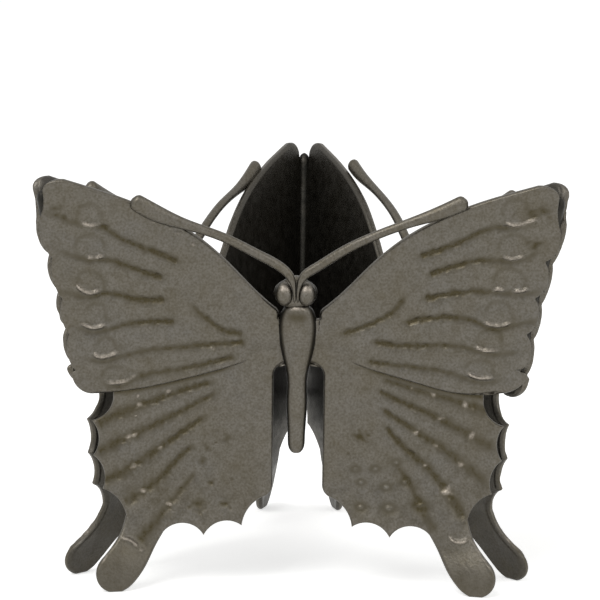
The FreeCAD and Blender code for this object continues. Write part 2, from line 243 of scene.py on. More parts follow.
class Side:
    """One side of a wing's outline: legs with the share of the side at which each one ends."""

    def __init__(self, legs):
        shares, points = [], []
        begin = 0.0
        for run, end in legs:
            lengths = np.concatenate([[0], np.cumsum(np.linalg.norm(np.diff(run, axis=0), axis=1))])
            shares.append(begin + (end - begin) * lengths / lengths[-1])
            points.append(run)
            begin = end
        self.ends = [end for run, end in legs]
        self.shares = np.concatenate(shares)
        self.points = np.concatenate(points)

    def at(self, share):
        """Points at these shares, by straight runs between the side's own close points."""
        return np.stack([np.interp(share, self.shares, self.points[:, k]) for k in (0, 1)], axis=-1)


# Extra grid lines beside an outline, where it is rounded, in steps of the even grid
CLOSE_STEPS = [0.06, 0.22, 0.48, 0.88, 1.4]


def grid_shares(ends, count, edges=(0.0, 1.0)):
    """Shares from 0 to 1: even within each leg, in number by its share, and closer at the edges."""
    shares = [np.zeros(1)]
    begin = 0.0
    for end in ends:
        steps = max(2, round(count * (end - begin)))
        shares.append(np.linspace(begin, end, steps + 1)[1:])
        begin = end
    close = np.array(CLOSE_STEPS) / count
    shares += [edge + (close if edge < 1 else -close) for edge in edges]
    return np.unique(np.concatenate(shares).round(6))


def coons_grid(bottom, top, left, right, s, t):
    """Grid between four sides: the straight blend of bottom and top plus that of left and right,
    less the blend of the four corners. Rows run along t, columns along s."""
    low, high = bottom.at(s)[None], top.at(s)[None]
    near, far = left.at(t)[:, None], right.at(t)[:, None]
    s, t = s[None, :, None], t[:, None, None]
    sides = (1 - t) * low + t * high + (1 - s) * near + s * far
    corners = (1 - t) * ((1 - s) * near[:1] + s * far[:1]) + t * ((1 - s) * near[-1:] + s * far[-1:])
    return sides - corners


def path_distance(u, z, path):
    """Distance of points from a path of straight runs, and the share of its length at the nearest
    place: each point is dropped onto every run, within its ends, and the least distance kept."""
    path = np.asarray(path, dtype=float)
    begin, run = path[:-1], np.diff(path, axis=0)
    lengths = np.linalg.norm(run, axis=1)
    starts = np.concatenate([[0], np.cumsum(lengths)])
    best = np.full(u.shape, np.inf)
    share = np.zeros(u.shape)
    for start, step, length, travelled in zip(begin, run, lengths, starts):
        if length == 0:
            continue
        along = np.clip(((u - start[0]) * step[0] + (z - start[1]) * step[1]) / length ** 2, 0, 1)
        gap = np.hypot(u - start[0] - along * step[0], z - start[1] - along * step[1])
        nearer = gap < best
        best = np.where(nearer, gap, best)
        share = np.where(nearer, (travelled + along * length) / starts[-1], share)
    return best, share


def ramp(value, start, end):
    """0 before start, 1 after end, and a smooth cubic between."""
    share = np.clip((value - start) / (end - start), 0, 1)
    return share * share * (3 - 2 * share)


def bell(value, width):
    """Round hump: 1 at 0, and e to the minus one at the width."""
    return np.exp(-(value / width) ** 2)


# Meshes

def new_piece(name, points, quads, node, material, triangles=None):
    """Mesh object from points in millimetres and quads of their numbers, smooth, which rides on
    the body, stands for its CAD node and takes its material."""
    mesh = bpy.data.meshes.new(name)
    faces = [np.asarray(quads, dtype=np.int32).reshape(-1, 4)]
    corners = faces[0].ravel()
    totals = np.full(len(faces[0]), 4, dtype=np.int32)
    if triangles is not None:
        extra = np.asarray(triangles, dtype=np.int32).reshape(-1, 3)
        corners = np.concatenate([corners, extra.ravel()])
        totals = np.concatenate([totals, np.full(len(extra), 3, dtype=np.int32)])
    mesh.vertices.add(len(points))
    mesh.vertices.foreach_set("co", (points * MM).astype(np.float32).ravel())
    mesh.loops.add(len(corners))
    mesh.loops.foreach_set("vertex_index", corners)
    mesh.polygons.add(len(totals))
    mesh.polygons.foreach_set("loop_start", np.concatenate([[0], np.cumsum(totals)[:-1]]).astype(np.int32))
    mesh.polygons.foreach_set("loop_total", totals)
    mesh.polygons.foreach_set("use_smooth", np.ones(len(totals), dtype=bool))
    mesh.update(calc_edges=True)
    mesh.validate()
    mesh.materials.append(material)
    piece = bpy.data.objects.new(name, mesh)
    bpy.context.scene.collection.objects.link(piece)
    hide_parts(node)
    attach(piece, "root")
    return piece


def store(piece, name, values):
    """Keeps a number for each point of a piece, for its material."""
    attribute = piece.data.attributes.new(name, "FLOAT", "POINT")
    attribute.data.foreach_set("value", values.astype(np.float32).ravel())


def grid_faces(numbers):
    """Quads of a grid of point numbers."""
    near, far = numbers[:-1], numbers[1:]
    return np.stack([near[:, :-1], near[:, 1:], far[:, 1:], far[:, :-1]], axis=-1).reshape(-1, 4)


def tube_faces(rings, around):
    """Quads of a tube of rings, and the triangles that close each end onto its pole."""
    ring = np.arange(rings * around).reshape(rings, around)
    turn = np.roll(ring, -1, axis=1)
    quads = np.stack([ring[:-1], turn[:-1], turn[1:], ring[1:]], axis=-1).reshape(-1, 4)
    first, last = rings * around, rings * around + 1
    start = np.stack([np.full(around, first), turn[0], ring[0]], axis=-1)
    end = np.stack([np.full(around, last), ring[-1], turn[-1]], axis=-1)
    return quads, np.concatenate([start, end])


# Materials

def colour(code):
    """Linear colour of an sRGB hex value."""
    parts = [int(code[k:k + 2], 16) / 255 for k in (1, 3, 5)]
    return [part / 12.92 if part <= 0.04045 else ((part + 0.055) / 1.055) ** 2.4 for part in parts] + [1.0]


def add_node(tree, kind, settings=None, links=None, **values):
    """Adds a node, makes its settings, links sources to its sockets, and gives values to others,
    each by the socket's name or by its number after an underscore."""
    node = tree.nodes.new(kind)
    for key, value in (settings or {}).items():
        setattr(node, key, value)
    for key, value in values.items():
        socket = node.inputs[int(key[1:])] if key[0] == "_" else node.inputs[key.replace("_", " ")]
        socket.default_value = value
    for key, source in (links or {}).items():
        tree.links.new(source, node.inputs[key])
    return node


def calculate(tree, operation, first, second):
    """Output of a node that takes two sources to a sum or a product."""
    return add_node(tree, "ShaderNodeMath", {"operation": operation}, links={0: first, 1: second}).outputs[0]


def new_material(name):
    """Empty node material with its output."""
    material = bpy.data.materials.new(name)
    material.use_nodes = True
    material.node_tree.nodes.clear()
    output = material.node_tree.nodes.new("ShaderNodeOutputMaterial")
    return material, material.node_tree, output


def patinated_bronze(name, sizes):
    """Cast bronze with a dark brown patina, waxed: a satin metal, browner in patches, mottled and
    grainy, brown and duller in the hollows, where patina and painted shade lie, with painted shade
    along the lap and on the body's sides, painted highlights on ridges, bumps, the collar and the
    eyes, and darker on the faces that look inwards."""
    material, tree, output = new_material(name)
    place = add_node(tree, "ShaderNodeTexCoord").outputs["Object"]

    def noise(width, least, most):
        field = add_node(tree, "ShaderNodeTexNoise", links={"Vector": place}, Scale=1 / width, Detail=3.0)
        return add_node(tree, "ShaderNodeMapRange", links={"Value": field.outputs["Fac"]},
                        From_Min=0.3, From_Max=0.7, To_Min=least, To_Max=most).outputs["Result"]

    def blend(share, first, second):
        return add_node(tree, "ShaderNodeMixRGB", links={0: share, 1: first}, _2=(*second, 1)).outputs[0]

    def product(first, second):
        return calculate(tree, "MULTIPLY", first, second)

    def kept(attribute):
        return add_node(tree, "ShaderNodeAttribute", {"attribute_name": attribute}).outputs["Fac"]

    base = add_node(tree, "ShaderNodeRGB")
    base.outputs[0].default_value = (*sizes.face_colour, 1)
    tone = blend(noise(sizes.patch_size, 0.0, 0.7), base.outputs[0], sizes.patch_colour)
    tone = blend(noise(sizes.mottle_size, 0.0, 0.6), tone, sizes.worn_colour)
    tone = blend(noise(sizes.grain_size, 0.5, -0.1), tone, sizes.hollow_and_shade_colour)
    # Hollows darkened by patina and painted shade, and painted shade along the lap and on tube sides
    tone = blend(product(kept("hollow_and_shade"), noise(sizes.grain_size, 0.6, 1.3)), tone, sizes.hollow_and_shade_colour)
    # Painted highlights on lips, bumps, the collar's rim and the eyes
    tone = blend(product(kept("painted_highlight"), noise(sizes.grain_size, 0.4, 1.3)), tone, sizes.highlight_colour)
    # Darker inner faces and braze seams, and painted shade on the tube sides
    tone = blend(product(kept("inner_and_side_shade"), noise(sizes.mottle_size, 0.8, 1.0)), tone, sizes.inner_and_shade_colour)
    grain = noise(sizes.grain_size, 0.0, 1.0)
    gloss = noise(sizes.mottle_size, sizes.gloss_low, sizes.gloss_high)
    bump = add_node(tree, "ShaderNodeBump", links={"Height": grain},
                    Strength=0.5, Distance=sizes.grain_height)
    skin = add_node(tree, "ShaderNodeBsdfPrincipled", Metallic=1.0,
                    links={"Base Color": tone, "Roughness": gloss, "Normal": bump.outputs["Normal"]})
    tree.links.new(skin.outputs[0], output.inputs[0])
    return material


# Relief of the front butterfly's wings, repeated on the others, each time the right hand wing's and
# then the left's. A vein is a list of points, and the depths of its hollow at the first and last
FOREWING_VEINS = [[
    ([(14.9, 43.0), (19.8, 44.9), (24.7, 46.9), (26.8, 47.0), (29.0, 48.4), (30.8, 49.4)], (0.34, 0.10)),
    ([(16.2, 40.7), (24.9, 42.7), (26.7, 42.6), (28.7, 43.4), (29.9, 44.1)], (0.34, 0.10)),
    ([(15.7, 37.6), (22.5, 38.7), (26.0, 38.5), (28.2, 38.5), (29.9, 39.1)], (0.34, 0.10)),
    ([(13.3, 34.5), (22.6, 34.6), (24.6, 33.9), (26.6, 34.4), (29.8, 35.2)], (0.34, 0.12)),
    ([(9.3, 31.9), (12.7, 31.5), (21.5, 31.3), (23.7, 30.7), (28.0, 31.2)], (0.30, 0.12)),
    ([(8.7, 29.3), (12.7, 28.9), (19.7, 27.9), (23.3, 27.0), (25.7, 27.5)], (0.24, 0.14)),
    ([(5.5, 32.8), (8.9, 34.1), (12.0, 36.1), (13.2, 37.7)], (0.26, 0.24)),
], [
    ([(15.2, 41.9), (18.7, 43.4), (22.4, 44.9), (24.6, 46.2), (26.7, 46.5), (31.5, 48.3)], (0.32, 0.10)),
    ([(17.1, 39.8), (21.2, 41.2), (24.4, 42.1), (26.4, 42.1), (28.3, 42.6), (30.1, 43.3)], (0.34, 0.12)),
    ([(16.8, 37.0), (21.2, 37.2), (24.3, 37.8), (26.2, 37.3), (28.4, 37.7), (29.6, 38.4)], (0.34, 0.12)),
    ([(15.6, 34.2), (22.4, 33.6), (24.3, 33.0), (26.4, 32.9), (27.9, 33.6)], (0.30, 0.14)),
    ([(6.8, 31.6), (16.2, 30.8), (20.0, 30.3), (22.7, 29.5), (25.0, 29.0), (26.8, 29.5)], (0.26, 0.14)),
    ([(8.0, 29.7), (16.2, 27.9), (20.2, 27.0), (22.5, 25.9), (24.7, 26.0)], (0.26, 0.16)),
    ([(7.1, 32.7), (9.3, 33.1), (11.8, 34.7), (13.5, 36.4)], (0.28, 0.20)),
]]
FOREWING_VEIN_WIDTHS = [(0.44, 0.36), (0.44, 0.36)]
HINDWING_VEINS = [[
    ([(10.8, 27.0), (16.6, 25.3), (21.2, 24.1), (24.7, 22.7)], (0.22, 0.20)),
    ([(10.2, 25.5), (12.9, 24.2), (17.9, 22.1), (21.8, 20.0), (25.1, 18.2)], (0.28, 0.18)),
    ([(10.7, 23.1), (15.1, 20.3), (18.0, 18.5), (21.2, 16.2), (24.3, 13.8)], (0.28, 0.18)),
    ([(11.1, 20.9), (13.6, 18.1), (16.4, 15.8), (18.8, 13.0), (21.5, 9.1)], (0.28, 0.22)),
    ([(12.8, 15.6), (14.6, 13.1), (15.6, 10.9), (17.7, 7.5)], (0.20, 0.16)),
], [
    ([(25.4, 20.9), (21.9, 22.5), (19.4, 23.5), (16.2, 24.7), (10.6, 26.5)], (0.22, 0.26)),
    ([(25.4, 17.3), (21.6, 19.1), (18.7, 20.5), (15.6, 22.1), (10.2, 25.1)], (0.22, 0.24)),
    ([(24.5, 13.4), (20.6, 15.6), (17.4, 17.9), (13.7, 20.5), (11.7, 22.0)], (0.22, 0.28)),
    ([(21.9, 10.8), (19.3, 12.4), (17.4, 13.9), (15.5, 16.0), (13.3, 18.2)], (0.20, 0.28)),
    ([(20.0, 6.1), (18.6, 7.5), (16.7, 9.9), (14.9, 12.2), (12.9, 14.7)], (0.22, 0.16)),
]]
HINDWING_VEIN_WIDTHS = [(0.38, 0.78), (0.78, 0.38)]

# Eye marks along the forewing's margin: a thin raised lip just above each vein's end, and a faint
# groove that arches over it and hooks round its inner end
LIP_WIDTH = 0.2
LIP_HEIGHT = 0.42
LIPS = [[
    [(25.4, 47.5), (26.8, 47.3), (28.1, 47.7), (29.2, 48.1)],
    [(25.3, 43.2), (26.5, 43.0), (27.7, 43.3)],
    [(24.2, 38.9), (24.9, 39.1), (25.4, 38.9)],
    [(26.7, 38.9), (27.5, 38.9), (28.3, 39.2)],
    [(23.1, 34.8), (23.9, 34.5), (24.7, 34.4), (25.6, 34.5), (26.4, 34.8)],
    [(22.1, 31.6), (23.2, 31.2), (24.8, 31.2)],
    [(21.3, 28.1), (22.8, 27.6), (24.2, 27.7)],
], [
    [(27.1, 46.8), (26.0, 46.5), (24.8, 46.7)],
    [(26.4, 42.5), (25.4, 42.4), (24.6, 42.6)],
    [(27.8, 38.8), (26.9, 38.1), (25.9, 37.9), (25.0, 38.2)],
    [(27.2, 33.9), (26.2, 33.5), (25.2, 33.5), (24.4, 33.8)],
    [(25.8, 30.2), (25.2, 29.7), (24.2, 29.7), (22.8, 30.2)],
    [(24.0, 26.4), (22.2, 26.4), (20.7, 27.2)],
]]
ARCH_WIDTH = 0.28
ARCH_DEPTH = 0.05
ARCHES = [[
    [(25.0, 48.2), (25.2, 49.7), (26.4, 50.5), (27.9, 49.9), (28.5, 48.6)],
    [(24.7, 43.8), (24.8, 45.2), (25.7, 45.9), (27.2, 45.9), (28.2, 45.1), (28.9, 43.9)],
    [(24.2, 39.7), (24.5, 41.1), (26.0, 41.8), (27.5, 41.2), (28.5, 39.7)],
    [(27.7, 35.5), (26.7, 35.3), (26.4, 36.7), (25.0, 37.4), (23.6, 36.9), (23.1, 35.6)],
    [(26.2, 32.1), (25.5, 31.5), (25.3, 33.1), (23.9, 33.8), (22.7, 33.4), (22.1, 32.2)],
    [(25.4, 28.3), (24.6, 27.9), (24.3, 29.2), (23.0, 29.9), (21.6, 29.6), (20.9, 28.6)],
], [
    [(24.5, 47.3), (24.9, 48.7), (26.3, 49.2), (27.5, 48.4), (27.8, 47.2)],
    [(24.3, 43.3), (24.4, 44.3), (25.5, 45.2), (27.0, 45.1), (27.8, 44.2), (27.8, 43.1)],
    [(24.5, 37.7), (24.4, 39.0), (25.0, 40.2), (26.3, 40.7), (27.5, 40.2), (27.6, 39.0)],
    [(23.2, 34.8), (24.1, 34.4), (24.3, 35.9), (25.2, 36.6), (26.2, 36.3), (26.9, 35.3)],
    [(21.8, 31.2), (22.7, 30.6), (23.2, 31.7), (24.5, 32.1), (25.5, 31.1)],
    [(21.5, 27.7), (23.0, 28.4), (24.5, 27.8), (24.8, 26.4)],
]]

# Small places: u and z of the middle, radius, and height, below zero for a pit
FOREWING_SPOTS = [[
    (29.2, 44.9, 0.55, -0.22), (28.6, 48.9, 0.60, -0.14), (30.0, 49.3, 0.50, -0.12),
    (27.9, 39.4, 0.35, -0.12),
], [
    (10.8, 30.7, 0.25, 0.14), (18.0, 47.1, 0.28, 0.16), (16.2, 46.2, 0.32, 0.16), (15.2, 45.6, 0.28, 0.14),
    (13.3, 44.1, 0.30, 0.16), (24.2, 46.4, 0.35, -0.22), (30.2, 48.6, 0.45, -0.14), (29.2, 47.7, 0.40, -0.12),
]]
HINDWING_SPOTS = [[
    (14.3, 26.0, 0.22, 0.20), (17.1, 25.2, 0.35, 0.24), (21.2, 24.0, 0.40, 0.28), (17.9, 22.1, 0.35, 0.24),
    (21.9, 20.0, 0.45, 0.26), (15.1, 20.3, 0.30, 0.24), (17.6, 18.6, 0.32, 0.22), (20.8, 16.2, 0.40, 0.26),
    (16.2, 16.0, 0.25, 0.24), (19.0, 12.7, 0.60, 0.30), (7.9, 19.5, 0.65, -0.22), (14.6, 17.5, 0.35, -0.14),
], [
    (20.1, 23.4, 0.40, 0.26), (16.5, 25.1, 0.38, 0.24), (21.4, 19.2, 0.42, 0.28), (20.5, 19.6, 0.30, 0.20),
    (17.4, 17.9, 0.32, 0.24), (20.7, 15.4, 0.45, 0.22), (19.5, 12.2, 0.35, 0.28), (16.1, 10.6, 0.28, 0.28),
    (19.6, 4.9, 0.30, 0.16), (11.5, 17.8, 0.35, -0.16), (12.1, 16.1, 0.45, -0.16), (11.1, 13.3, 0.40, -0.18),
    (12.6, 10.6, 0.80, -0.18), (9.1, 10.7, 0.55, -0.18), (8.9, 19.1, 0.60, -0.14), (8.3, 13.7, 0.30, -0.12),
]]

# Ringed dots between the right hindwing's veins and its inner rim, a dimple with a bead in it: u
# and z of the middle, and radius
DOT_DEPTH = 0.20
DOT_BEAD_HEIGHT = 0.26
HINDWING_DOTS = [[
    (7.4, 15.3, 0.62), (9.9, 15.4, 0.62), (12.5, 16.3, 0.62), (8.1, 13.6, 0.60), (11.3, 13.1, 0.75),
    (13.7, 13.8, 0.62), (8.1, 10.5, 0.70), (11.7, 10.5, 0.90), (15.6, 10.9, 0.95),
], []]

# Ridges on a tail and its neck, with their heights
TAIL_RIDGES = [[
    ([(19.4, 7.0), (20.3, 6.5), (21.5, 6.8)], 0.30), ([(22.2, 6.9), (23.5, 5.1), (24.6, 3.5)], 0.16),
], [
    ([(22.1, 6.6), (21.1, 6.3), (20.1, 5.4)], 0.30), ([(22.4, 7.5), (23.3, 5.7), (24.5, 3.6)], 0.16),
]]


# Wave lengths and heights of the unevenness that working by hand leaves, and the seeds of the
# draws that give the waves their directions
CAST_WAVES, CAST_RIPPLES = (9.0, 6.0, 4.0), (2.4, 1.5, 1.0, 0.7)
CAST_HEIGHTS = (0.05, 0.035)
VEIN_WAVES, VEIN_RIPPLES = (2.6, 1.6, 1.1, 0.8), (0.9, 0.7, 0.55)
STROKE_WAVES = (1.7, 1.1)
SPOT_WAVES = (1.3, 0.8)
SEEDS = {"forewing": 3, "hindwing": 7, "forewing veins": 11, "lips": 21, "arches": 31, "forewing spots": 41,
         "hindwing veins": 51, "hindwing spots": 61, "tail ridges": 71}

# Depths at which a vein and a pit are fully dark with patina and painted shade, heights at which a
# bump of the forewing and of the hindwing takes its full painted highlight, and how much an arch
# darkens, and how much a lip clears of that dark and takes a painted highlight
VEIN_DARK_DEPTH = 0.26
PIT_DARK_DEPTH = 0.2
BUMP_HIGHLIGHT_HEIGHTS = (0.25, 0.24)
ARCH_SHADE = 0.35
LIP_CLEARS = 1.2
LIP_HIGHLIGHT = 1.1

# The hindwing's relief starts within these distances below the lap, along which there is a painted
# shadow of this width and strength beyond these reaches, and the share of the hindwing's painted
# highlights
SHOWN_DISTANCES = (0.1, 0.8)
LAP_SHADOW_WIDTH = 0.4
LAP_SHADOW_STRENGTH = 0.9
LAP_SHADOW_REACHES = (7.0, 10.0)
HINDWING_HIGHLIGHT = 0.8

# A tail is browner than the wing below these heights
TAIL_SHADE = 0.3
TAIL_SHADE_HEIGHTS = (7.0, 5.0)


def waves(u, z, lengths, draws, seed):
    """Sum of plane waves between minus one and one, with directions and starts drawn from the seed."""
    draw = np.random.default_rng(seed)
    height = np.zeros_like(u)
    for length in lengths:
        for angle, start in draw.uniform(0, math.tau, (draws, 2)):
            along = u * math.cos(angle) + z * math.sin(angle)
            height += np.sin(math.tau * along / length + start)
    return height / (len(lengths) * draws)


def vein_relief(u, z, veins, widths, seed):
    """Depth of the veins' hollows: a bell of the distance from each, whose depth and width run
    from the start's to the end's, a little uneven by short waves. The deepest counts."""
    uneven = waves(u, z, VEIN_WAVES, 4, seed)
    fine = waves(u, z, VEIN_RIPPLES, 5, seed + 1)
    depth = np.zeros_like(u)
    for points, depths in veins:
        gap, share = path_distance(u, z, natural_curve(points, 30))
        ends = ramp(share, 0.0, 0.02) * ramp(share, 1.0, 0.93)
        deep = (depths[0] + (depths[1] - depths[0]) * share) * (0.35 + 0.65 * ends) * (1 + 0.5 * uneven)
        wide = (widths[0] + (widths[1] - widths[0]) * share) * (1 + 0.5 * uneven + 0.4 * fine)
        depth = np.maximum(depth, deep * bell(gap, wide))
    return depth


def stroke_relief(u, z, strokes, width, seed):
    """Height of thin strokes, 1 on the line, fading at both ends and uneven along the way."""
    uneven = waves(u, z, STROKE_WAVES, 4, seed)
    height = np.zeros_like(u)
    for points in strokes:
        gap, share = path_distance(u, z, natural_curve(points, 30))
        fade = ramp(share, 0.0, 0.12) * ramp(share, 1.0, 0.88)
        height = np.maximum(height, (0.45 + 0.55 * fade) * bell(gap, width) * (1 + 0.7 * uneven))
    return height


def spot_relief(u, z, spots, seed):
    """Height of small bumps and pits, out of round by short waves."""
    uneven = waves(u, z, SPOT_WAVES, 4, seed)
    height = np.zeros_like(u)
    for centre_u, centre_z, radius, rise in spots:
        height += rise * bell(np.hypot((u - centre_u) * 0.8, z - centre_z) * (1 + uneven), radius * 0.8)
    return height


def dot_relief(u, z, dots):
    """Height of ringed dots: a dimple, wider than high, less a small bead in its middle."""
    height = np.zeros_like(u)
    for centre_u, centre_z, radius in dots:
        across = np.hypot((u - centre_u) * 0.7, z - centre_z)
        height += DOT_BEAD_HEIGHT * bell(across, radius * 0.35) - DOT_DEPTH * bell(across, radius * 0.85)
    return height


def edge_round(gap, radius):
    """Quarter round from 0 on the outline to 1 at the radius: the root of one less the square."""
    short = 1 - np.clip(gap / radius, 0, 1)
    return np.sqrt(1 - short * short)


def forewing_outline(mirror):
    """A forewing's four sides: trailing edge, leading edge, root and scalloped margin."""

    def margin_point(z, depth=0.0):
        return (float(mitre_reach(z, -MITRE_INSET)) - depth, z)

    heights = NOTCHES[mirror] + [CORNER_TOPS[mirror]]
    ends = [margin_point(z, NOTCH_DEPTHS[mirror]) for z in heights[:-1]] + [margin_point(heights[-1])]
    crests = [margin_point((upper + lower) / 2) for upper, lower in zip(heights, heights[1:])]
    corner = LOWER_CORNERS[mirror]
    middle = (np.array(ends[-1]) + corner) / 2
    margin = [arc(corner, middle + [LOWER_CORNER_BULGE, -LOWER_CORNER_BULGE], ends[-1])]
    margin += [arc(ends[k + 1], crests[k], ends[k]) for k in reversed(range(len(crests)))]
    margin.append(arc(ends[0], TIP_MARGIN, TIP_SIDE))
    right = Side(list(zip(margin, MARGIN_SHARES)))
    left = Side([(line((WING_ROOT_GAP, ROOT_HEIGHT), (WING_ROOT_GAP, ROOT_TOP)), 1.0)])
    top = Side([
        (line((WING_ROOT_GAP, ROOT_TOP), SHOULDER[0]), 0.07),
        (arc(*SHOULDER), 0.11),
        (natural_curve(LEADING_EDGE + [FLAT_START], 120), 0.92),
        (line(FLAT_START, FLAT_END), 0.96),
        (arc(FLAT_END, TIP_ROUND, TIP_SIDE), 1.0),
    ])
    bottom = Side([(natural_curve([corner] + TRAILING_EDGE[1:], 90)[::-1], 1.0)])
    return bottom, top, left, right


def scallops(start, rim):
    """Arcs of a scalloped rim from its start, each through its deepest place to its end."""
    runs = []
    for deepest, end in rim:
        runs.append(arc(start, deepest, end))
        start = end
    return runs


def backwards(runs):
    """The same runs from the last one's end."""
    return [run[::-1] for run in reversed(runs)]


def hindwing_outline():
    """The right hindwing's blade and its tail, each with four sides: bottom, top, left and right.
    The blade's bottom is the inner rim and the line across which the tail joins on."""
    lap = [(reach, z + LAP_WIDTH) for reach, z in TRAILING_EDGE[1:]]
    corner = (EDGE_TOP[0], ROOT_END[1])
    root_round = [c + (1 - math.sqrt(0.5)) * (a + b - 2 * c) for a, c, b in zip(EDGE_TOP, corner, ROOT_END)]
    seam = line(TAIL_INNER[-1], TAIL_NECK[1], 30)
    rim = backwards(scallops(TAIL_INNER[-1], INNER_RIM + [INNER_CORNER]))
    bottom = Side(list(zip(rim + [seam], [0.08, 0.29, 0.53, SEAM_SHARE, 1.0])))
    left = Side([
        (line(INNER_CORNER[1], EDGE_TOP, 30), 0.69),
        (arc(EDGE_TOP, root_round, ROOT_END), 0.82),
        (line(ROOT_END, (WING_ROOT_GAP, ROOT_END[1])), 0.87),
        (line((WING_ROOT_GAP, ROOT_END[1]), (WING_ROOT_GAP, ROOT_HEIGHT + LAP_WIDTH)), 1.0),
    ])
    outer = backwards(scallops(RIM_START, OUTER_RIM + [TAIL_NECK])) + [line(RIM_START, LAP_END)]
    right = Side(list(zip(outer, [0.22, 0.45, 0.69, 0.90, 1.0])))
    top = Side([(natural_curve([LAP_END] + lap, 90)[::-1], 1.0)])

    foot_in = (TAIL_CENTRE[0] - FOOT_LENGTH / 2, 0.0)
    foot_out = (TAIL_CENTRE[0] + FOOT_LENGTH / 2, 0.0)

    def round_point(angle):
        across, down = TAIL_RADIUS * math.cos(angle), TAIL_RADIUS * math.sin(angle)
        return (TAIL_CENTRE[0] + across, TAIL_CENTRE[1] - down)

    tail_right = Side([
        (arc(foot_out, round_point(0), round_point(TAIL_ROUND_END)), 0.42),
        (natural_curve([round_point(TAIL_ROUND_END), TAIL_OUTER[1], TAIL_OUTER[0], TAIL_NECK[1]], 40), 1.0),
    ])
    tail_left = Side([(natural_curve([foot_in] + TAIL_INNER, 60), 1.0)])
    tail_bottom = Side([(line(foot_in, foot_out), 1.0)])
    tail_top = Side([(seam, 1.0)])
    return (bottom, top, left, right), (tail_bottom, tail_top, tail_left, tail_right)


def border_of(shape):
    """True on the outline of a grid."""
    border = np.ones(shape, dtype=bool)
    border[1:-1, 1:-1] = False
    return border


def forewing_net(sizes, mirror):
    """Points of a forewing, quads of their numbers, which lie on the outline, and the outline."""
    bottom, top, left, right = forewing_outline(mirror)
    grid = coons_grid(bottom, top, left, right, grid_shares(top.ends, sizes.wing_columns),
                      grid_shares(right.ends, sizes.wing_rows))
    numbers = np.arange(grid[..., 0].size).reshape(grid.shape[:2])
    outline = np.concatenate([bottom.points, right.points, top.points[::-1], left.points[::-1]])
    return grid.reshape(-1, 2), grid_faces(numbers), border_of(numbers.shape).ravel(), outline


def hindwing_net(sizes, mirror):
    """The same for a hindwing, right or left: the blade's grid, and the tail's, which shares the
    seam's points."""
    blade, tail = hindwing_outline()
    s = grid_shares(blade[0].ends, sizes.wing_columns, (0.0, SEAM_SHARE, 1.0))
    t = grid_shares(sorted(set(blade[2].ends) | set(blade[3].ends)), sizes.wing_rows)
    grid = coons_grid(*blade, s, t)
    numbers = np.arange(grid[..., 0].size).reshape(grid.shape[:2])
    on_seam = np.flatnonzero(s >= SEAM_SHARE)
    tail_s = (s[on_seam] - SEAM_SHARE) / (1 - SEAM_SHARE)
    tail_grid = coons_grid(*tail, tail_s, grid_shares(tail[3].ends, sizes.wing_rows // 2, (0.0,)))[:-1]
    tail_numbers = numbers.size + np.arange(tail_grid[..., 0].size).reshape(tail_grid.shape[:2])
    border = border_of(numbers.shape)
    border[0, on_seam[1:-1]] = False
    tail_border = border_of(tail_numbers.shape)
    tail_border[-1, 1:-1] = False
    joined = np.vstack([tail_numbers, numbers[:1, on_seam]])
    quads = np.concatenate([grid_faces(numbers), grid_faces(joined)])
    rim = blade[0].points[blade[0].shares <= SEAM_SHARE]
    outline = np.concatenate([tail[0].points, tail[3].points, blade[3].points, blade[1].points[::-1],
                              blade[2].points[::-1], rim, tail[2].points[::-1]])
    points = np.concatenate([grid.reshape(-1, 2), tail_grid.reshape(-1, 2)])
    return points, quads, np.concatenate([border.ravel(), tail_border.ravel()]), outline


def cast_unevenness(u, z, seed):
    """Unevenness of a surface that was worked by hand in wax: long shallow waves and short ones."""
    long = waves(u, z, CAST_WAVES, 4, seed)
    short = waves(u, z, CAST_RIPPLES, 5, seed + 1)
    return CAST_HEIGHTS[0] * long + CAST_HEIGHTS[1] * short


# How much of the inner colour the inner faces have
INNER_SHADE = 0.6


def add_plate(name, net, surface, mirror, number, node, material):
    """Closed plate with an outer and an inner offset at each point of a net, which meet on the
    outline, mirrored for a left hand wing and turned to its butterfly. The outer points can lean
    further along the wing than the inner ones."""
    places, quads, border, outline = net
    outer, inner, hollow_and_shade, painted_highlight, lean = surface
    hand = -1 if mirror else 1
    front = sheet_point(hand * (places[:, 0] + lean), places[:, 1], outer)
    back = sheet_point(hand * places[:, 0], places[:, 1], inner)[~border]
    behind = np.where(border, np.arange(len(front)), len(front) + np.cumsum(~border) - 1)
    faces = np.concatenate([quads, behind[quads][:, ::-1]])
    if mirror:
        faces = faces[:, ::-1]
    piece = new_piece(name, turned(np.concatenate([front, back]), number), faces, node, material)
    nothing = np.zeros(len(back))
    store(piece, "hollow_and_shade", np.concatenate([hollow_and_shade, nothing]))
    store(piece, "painted_highlight", np.concatenate([painted_highlight, nothing]))
    store(piece, "inner_and_side_shade", np.concatenate([np.zeros(len(front)), nothing + INNER_SHADE]))
    return piece


